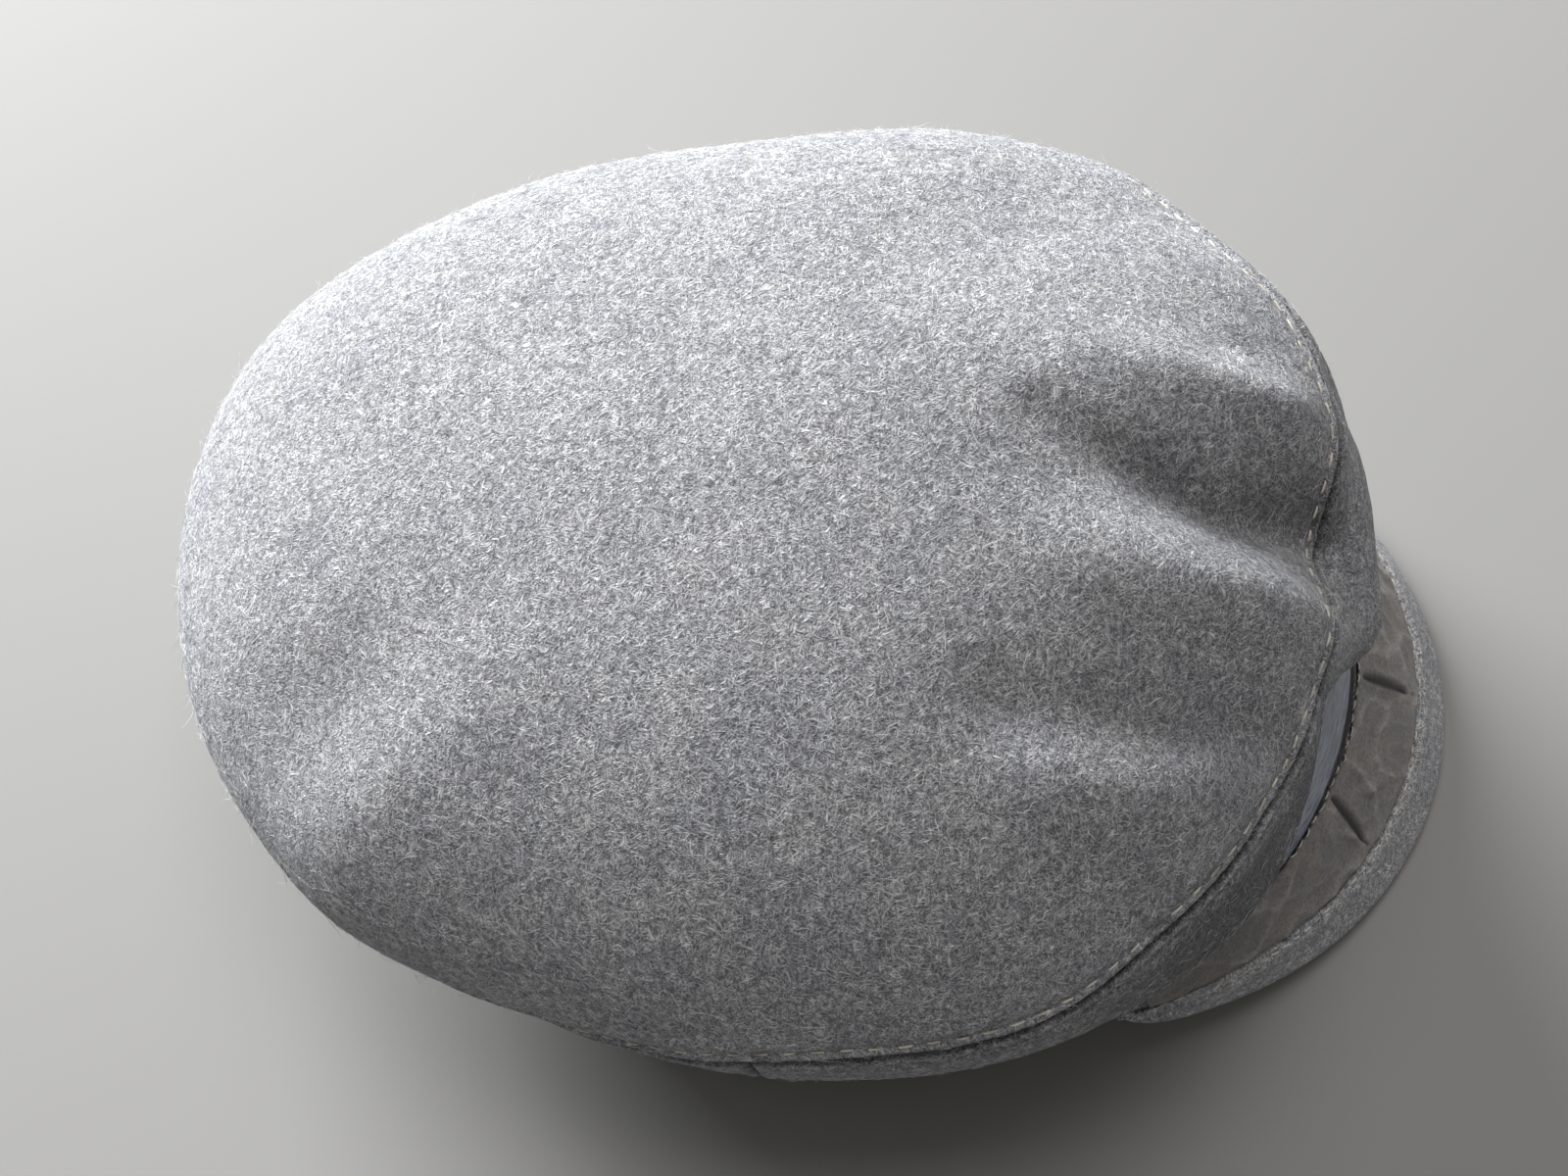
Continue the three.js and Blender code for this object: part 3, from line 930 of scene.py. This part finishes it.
# %% A nap of fibres
def nap(name, sheet, tree, count, seed, length, radius, stand, curl=1.6, bends=4):
    """Many fibres on a sheet, as one mesh. The length has a least and a most value."""
    chance = np.random.default_rng(seed)
    roots = random_places(sheet, count, chance)
    lengths = length[0] + (length[1] - length[0]) * chance.random(count) ** 2
    headings = chance.random(count) * 2 * np.pi
    turns = chance.normal(0, curl, count)
    stands = np.abs(chance.normal(0, stand, count))
    radii = radius * (0.7 + 0.6 * chance.random(count))
    rings = np.linspace(0, 1, bends)
    taper = np.interp(rings, (0, 0.3, 0.7, 1), (0.8, 1, 0.9, 0.25))
    points = np.empty((count, bends, 3, 3))
    for number in range(count):
        root = Vector(roots[number])
        normal = tree.find_nearest(root)[1]
        side = normal.orthogonal().normalized()
        other = normal.cross(side)
        centre, centres = root.copy(), []
        step = lengths[number] / (bends - 1)
        for ring in rings:
            on, cloth_normal, _, _ = tree.find_nearest(centre)
            height = radii[number] * 0.5 + stands[number] * ring ** 2
            centres.append(on + cloth_normal * height)
            heading = headings[number] + turns[number] * ring
            centre = centre + (side * math.cos(heading) + other * math.sin(heading)) * step
        for ring, place in enumerate(centres):
            ahead = (centres[min(ring + 1, bends - 1)] - centres[max(ring - 1, 0)]).normalized()
            across = ahead.cross(normal).normalized()
            up = across.cross(ahead)
            width = radii[number] * taper[ring]
            for corner, (a, b) in enumerate(((0, 1), (0.87, -0.5), (-0.87, -0.5))):
                points[number, ring, corner] = place + (across * a + up * b) * width
    strip = [
        (ring + corner, ring + (corner + 1) % 3, ring + 3 + (corner + 1) % 3, ring + 3 + corner)
        for ring in range(0, bends * 3 - 3, 3) for corner in range(3)
    ]
    last = bends * 3 - 3
    caps = [(2, 1, 0), (last, last + 1, last + 2)]
    shifts = np.arange(count) * bends * 3
    faces = [tuple(v + shift for v in face) for shift in shifts.tolist() for face in strip + caps]
    return joined_mesh(name, points.reshape(-1, 3), faces)


# %% The crown's nap
SHORT_FIBRE = (1.5 * MM, 5 * MM)
LONG_FIBRE = (3 * MM, 11 * MM)
LYING, STANDING = 0.3 * MM, 1.1 * MM     # how far the fibres' ends stand away from the cloth

fibres = [
    # after the sheet and its tree: how many, the seed, the length, the radius, how far they stand
    nap("crown_nap_1", top, top_tree, 9000, 11, SHORT_FIBRE, 0.03 * MM, LYING),
    nap("crown_nap_2", top, top_tree, 9000, 12, SHORT_FIBRE, 0.028 * MM, LYING),
    nap(
        "crown_nap_long", top, top_tree, 3200, 13, LONG_FIBRE, 0.034 * MM, STANDING,
        curl=2.4, bends=6,
    ),
]
print([len(piece.data.polygons) for piece in fibres], "faces of fibres")

crown_top_wall = close_wall(top, top_inside, "crown_top_cloth")
show(crown_top_wall, crown_wool, "wool_heather", "crown_top")
show(topstitch, cream_thread, "cream_thread")
for piece in fibres:
    show(piece, fibre_wool, "wool_heather")

# %% [markdown]
# ## Crown sides
#
# Two side panels run in from the top's seam to the headband. They are joined to each other by a
# seam at each side of the head. They take the top's folds where they share its seam, and ever less
# towards the headband, which holds them fast, or the cloth would open there. In front they are
# tucked in above the peak, so that a sliver of the ribbon shows.

# %% Crown sides
TUCKED_UNDER = [
    # where the side panels sink in under the seam, seen from above in mm, and by how much
    {"line": [(-19, -99), (-31, -95)], "width": 7, "depth": 2.3},
    {"line": [(14, -103), (-12, -101)], "width": 9, "depth": 1.5},
]


def headband_edge(sheet, top_seam_path):
    """The stretch of a side panel's edge that is sewn to the headband, as points."""
    path = closed_path(read_points(sheet)[open_edge(sheet)])[0]
    level = steepness(path) < 0.5
    return path[level & (nearest_on(top_seam_path, path)[0] > 3 * MM)]


def tuck_under(sheet):
    """Sinks the side panel in between its seam and the headband, where it is tucked."""
    points = read_points(sheet)
    outward = unit(read_points(sheet, "normal") * (1, 1, 0))
    own_edge = closed_path(points[open_edge(sheet)])[0]
    inside_edge = np.clip((nearest_on(own_edge, points)[0] / MM - 1) / 4, 0, 1)
    depth = np.zeros(len(points))
    for tuck in TUCKED_UNDER:
        distance, _ = beside_line(tuck["line"], points)
        depth += tuck["depth"] * np.exp(-(distance / tuck["width"]) ** 2)
    move_points(sheet, points - outward * (depth * inside_edge * MM)[:, None])


# %% Make both side panels
DOWN_TO_BAND = 0.27 * MM   # closes the gap that the frame leaves above the headband


def fold_side(sheet):
    """Tucks and folds a side panel, and brings its lower edge down onto the headband."""
    points = read_points(sheet)
    from_headband = nearest_on(headband_edge(sheet, unfolded_edge), points)[0] / MM
    from_seam = nearest_on(unfolded_edge, points)[0] / MM
    tuck_under(sheet)
    fold(sheet, np.clip(2.5 * from_headband / (from_headband + from_seam + 0.01), 0, 1))
    down = np.outer(np.exp(-(from_headband / 2) ** 2), (0, 0, DOWN_TO_BAND))
    move_points(sheet, read_points(sheet) - down)


def crown_side(node, name, seed):
    """Makes one side panel with its nap."""
    outside, inside = sheets_of(node, name)
    add_border(outside)
    keep_corners(outside)
    subdivide(outside, 3)
    subdivide(inside, 1)
    fold_side(outside)
    fold_side(inside)
    roll_edge(outside, top_edge)
    tree = bvh_of(outside)
    hairs = nap(name + "_nap", outside, tree, 4000, seed, SHORT_FIBRE, 0.027 * MM, LYING)
    show(close_wall(outside, inside, name), crown_wool, "wool_heather", node)
    show(hairs, fibre_wool, "wool_heather")


crown_side("crown_side_front", "crown_side_front_cloth", 21)
crown_side("crown_side_back", "crown_side_back_cloth", 22)

# %% [markdown]
# ## Headband and ribbon
#
# The headband is a straight strip of the same wool, painted lighter as light, and the ribbon a
# satin
# one laid round it. Both are shaped closely enough by the frame, so they aren't split into sheets:
# their edges are bevelled and their faces rounded. In front the ribbon's lower edge stands out a
# little, over the seam where the peak is sewn on. How far above its lower edge a point lies is
# measured in 90 sectors, because the cap leans and the edge isn't level.

# %% Headband
def soften(node, name, edge_width):
    """A copy of a node with its sharp edges bevelled and its faces rounded."""
    piece = copy_of(node, name)
    edit(piece, "EDGE", "DESELECT")
    bpy.ops.mesh.edges_select_sharp(sharpness=math.radians(50))
    bpy.ops.mesh.bevel(offset=edge_width, segments=2, affect="EDGES")
    leave_edit()
    subdivide(piece, 1)
    bpy.ops.object.shade_smooth_by_angle(angle=math.radians(50))
    print(name, "has", len(piece.data.polygons), "faces")
    return piece


band = soften("headband", "headband_cloth", 0.6 * MM)
show(band, band_wool_painted_light, "wool_band", "headband")

# %% Ribbon
RIBBON_FLARE = 0.8         # mm, how far the ribbon's lower edge stands out over the peak's seam
SECTORS = 90

ribbon = soften("band_ribbon", "band_ribbon_satin", 0.25 * MM)
_, peak_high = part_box("peak")
points = read_points(ribbon)
outward = unit((points - points.mean(axis=0)) * (1, 1, 0))
turns = (np.arctan2(outward[:, 1], outward[:, 0]) + np.pi) / (2 * np.pi)
sector = (turns * SECTORS).astype(int) % SECTORS
low_edge = np.array([points[sector == number, 2].min() for number in range(SECTORS)])
above = (points[:, 2] - low_edge[sector]) / MM
in_front = np.clip((peak_high[1] + 5 * MM - points[:, 1]) / (20 * MM), 0, 1)
flare = RIBBON_FLARE * in_front * np.exp(-(above / 2.5) ** 2)
move_points(ribbon, points + outward * (flare * MM)[:, None])
print("the ribbon's lower edge is", round(low_edge.min() / MM, 1), "mm high at its lowest")
show(ribbon, ribbon_satin, "satin_ribbon", "band_ribbon")

# %% [markdown]
# ## Peak
#
# The peak is a stiff board covered with wool, which is turned over its edge and sewn down in a
# broad rim on top. Inside the rim the board is faced with a thin smooth cloth, which has come loose
# a little: it is crinkled all over and has two open tucks. The rim is sewn along its inner edge,
# and the facing beside the headband.
#
# Crumpled cloth is creased along thin wandering ridges and is nearly flat between them. A noise is
# close to nought along just such lines, so the cloth is raised where it is, and looks worn there.
# Bump alone would show the same from above, but not in the mesh.

# %% Tucks and crinkles
TUCKS = [
    # seen from above in mm; half width and depth of the open tuck, and height of the fold beside it
    {
        "name": "right tuck", "start": (-15.2, -107.2), "end": (-13.6, -119.6),
        "width": 1.4, "depth": 0.9, "lip": 0.8,
    },
    {
        "name": "low tuck", "start": (-41.2, -96.6), "end": (-46.0, -105.2),
        "width": 1.3, "depth": 0.9, "lip": 0.7,
    },
    {
        "name": "soft crease", "start": (-37.0, -104.0), "end": (-31.6, -110.6),
        "width": 1.5, "depth": 0.0, "lip": 0.9,
    },
]
CRINKLES = [
    {"fineness": 90, "height": 0.5, "sharpness": 0.11},
    {"fineness": 190, "height": 0.3, "sharpness": 0.16},
]


def along_and_aside(points, start, end):
    """Where points are along a line (as a share of it) and to its side (in mm), from above."""
    x, y = (points[:, :2] / MM).T
    (x0, y0), (x1, y1) = start, end
    length = math.hypot(x1 - x0, y1 - y0)
    along = ((x - x0) * (x1 - x0) + (y - y0) * (y1 - y0)) / length ** 2
    aside = ((x - x0) * (y1 - y0) - (y - y0) * (x1 - x0)) / length
    return along, aside


def refine_near_tucks(sheet):
    """Cuts the faces near the tucks finer."""
    for tuck in TUCKS:
        edit(sheet, "FACE", "DESELECT")
        leave_edit()
        centres = np.array([face.center for face in sheet.data.polygons])
        along, aside = along_and_aside(centres, tuck["start"], tuck["end"])
        near = (along > -0.15) & (along < 1.15) & (np.abs(aside) < 2.5)
        for face, chosen in zip(sheet.data.polygons, near):
            face.select = bool(chosen)
        bpy.ops.object.mode_set(mode="EDIT")
        bpy.ops.mesh.subdivide(number_cuts=1)
        leave_edit()


def from_tips(points):
    """How far each point is, in mm, from the nearer of the panel's two tips."""
    tips = points[[points[:, 0].argmin(), points[:, 0].argmax()]]
    return np.min([np.linalg.norm(points - tip, axis=1) for tip in tips], axis=0) / MM


# %% Crinkle the facing
def crinkle(sheet):
    """Crinkles the facing, opens its tucks, marks where shade is painted in them and presses its
    edge down.
    """
    points, normals = read_points(sheet), read_points(sheet, "normal")
    lift = np.zeros(len(points))
    for crinkles in CRINKLES:
        ridges = np.exp(-(unevenness(points, crinkles["fineness"]) / crinkles["sharpness"]) ** 2)
        lift += crinkles["height"] * (ridges - 0.4)
    worn = np.clip(0.35 + 1.05 * lift, 0, 1)
    tuck_painted_shade = np.zeros(len(points))
    for tuck in TUCKS:
        along, aside = along_and_aside(points, tuck["start"], tuck["end"])
        length = np.sqrt(np.clip(np.sin(np.pi * np.clip(along, 0, 1)), 0, 1))
        width = tuck["width"] * np.maximum(length, 0.05)
        slit = np.exp(-(aside / width) ** 2) * (length > 0)
        fold_over = np.exp(-((aside - 1.6) / 1.1) ** 2) + 0.5 * np.exp(-((aside + 1.6) / 1.0) ** 2)
        lift = lift * (1 - slit) - tuck["depth"] * slit + tuck["lip"] * fold_over * length
        tuck_painted_shade = np.maximum(tuck_painted_shade, slit * (tuck["depth"] > 0))
    edge_path = closed_path(points[open_edge(sheet)])[0]
    from_edge = nearest_on(edge_path, points)[0] / MM
    lift -= 0.5 * np.exp(-(from_edge / 1.2) ** 2)
    lift = np.clip(lift, -0.8, 1.2) * np.clip(from_tips(points) / 8, 0, 1)
    move_points(sheet, points + normals * (lift * MM)[:, None])
    # where shade is painted inside the open tucks
    write_attribute(sheet, "tuck", tuck_painted_shade)
    write_attribute(sheet, "worn", worn)


def split_edge(sheet):
    """The sheet's open edge as the stretch in front and the stretch behind, from tip to tip."""
    path = closed_path(read_points(sheet)[open_edge(sheet)])[0]
    left, right = path[:, 0].argmax(), path[:, 0].argmin()
    ring = np.roll(path, -left, axis=0)
    turn = (right - left) % len(path)
    return sorted((ring[:turn], ring[turn:]), key=lambda stretch: stretch[:, 1].mean())


# %% The panel on the peak
BASE_ROW_REACH = 55 * MM   # how far to each side the stitches beside the headband go
PEAK_STITCH_PITCH = 3.0 * MM

panel, panel_under = sheets_of("peak_panel", "peak_panel_cloth", sharpness=65)
subdivide(panel, 3)
subdivide(panel_under, 1)
rim_path, band_path = split_edge(panel)
panel_middle = read_points(panel).mean(axis=0)
for sheet in (panel, panel_under):
    # the facing is spread by so many mm towards the rim, and then towards the ribbon
    for path, reach in ((rim_path, 0.75), (band_path, 0.4)):
        points = read_points(sheet)
        from_edge, nearest = nearest_on(path, points)
        spread = unit((path[nearest] - panel_middle) * (1, 1, 0))
        amount = reach * np.exp(-(from_edge / MM / 2.5) ** 2) * np.clip(from_tips(points) / 8, 0, 1)
        move_points(sheet, points + spread * (amount * MM)[:, None])
refine_near_tucks(panel)
crinkle(panel)
panel_tree = bvh_of(panel)
base_row = row_beside(band_path, panel_tree, 1.1 * MM, PEAK_STITCH_PITCH, panel_middle)
base_row = [row for row in base_row if abs(row[0][0]) < BASE_ROW_REACH]
base_stitches = stitch_row(
    "peak_base_stitches", base_row, length=2.1 * MM, radius=0.16 * MM, sink=0.3 * MM, seed=5,
)
panel_wall = close_wall(panel, panel_under, "peak_panel_cloth")
show(panel_wall, panel_cloth, "smooth_cloth", "peak_panel")
show(base_stitches, cream_thread, "cream_thread")

# %% [markdown]
# The rim is the part of the peak that lies beyond the facing. The wool is puffed up over the
# board's edge and pulled down along the row of stitches. Only points on top are moved, so the
# underside and the place where the peak rests stay as the frame has them.

# %% The peak and its rim
RIM_STITCH_INSET = 1.9     # mm from the panel's edge to the row of stitches on the rim

peak = copy_of("peak", "peak_cloth")
subdivide(peak, 2)
points, normals = read_points(peak), read_points(peak, "normal")
from_panel, nearest = nearest_on(rim_path, points)
from_panel = from_panel / MM
outward = rim_path[nearest] - panel_middle
beyond = np.einsum("ij,ij->i", points - rim_path[nearest], outward) > 0
on_top = normals[:, 2] > 0.2
puff = 0.5 * np.exp(-((from_panel - 3.4) / 2.0) ** 2)
pulled_in = 0.2 * np.exp(-((from_panel - RIM_STITCH_INSET) / 0.7) ** 2)
lift = np.where(beyond & on_top, puff - pulled_in + 0.18 * unevenness(points, 120), 0.0)
move_points(peak, points + normals * (lift * MM)[:, None])
bpy.ops.object.shade_smooth_by_angle(angle=math.radians(60))
peak_tree = bvh_of(peak)
rim_row = row_beside(
    rim_path, peak_tree, -RIM_STITCH_INSET * MM, PEAK_STITCH_PITCH, panel_middle,
)
rim_stitches = stitch_row(
    "peak_rim_stitches", rim_row, length=2.2 * MM, radius=0.2 * MM, sink=0.3 * MM, seed=7,
)
print(len(rim_row), "stitches on the rim and", len(base_row), "beside the headband")
# the peak's wool is painted lighter, as light that falls on it
show(peak, band_wool_painted_light, "wool_band", "peak")
show(rim_stitches, cream_thread, "cream_thread")
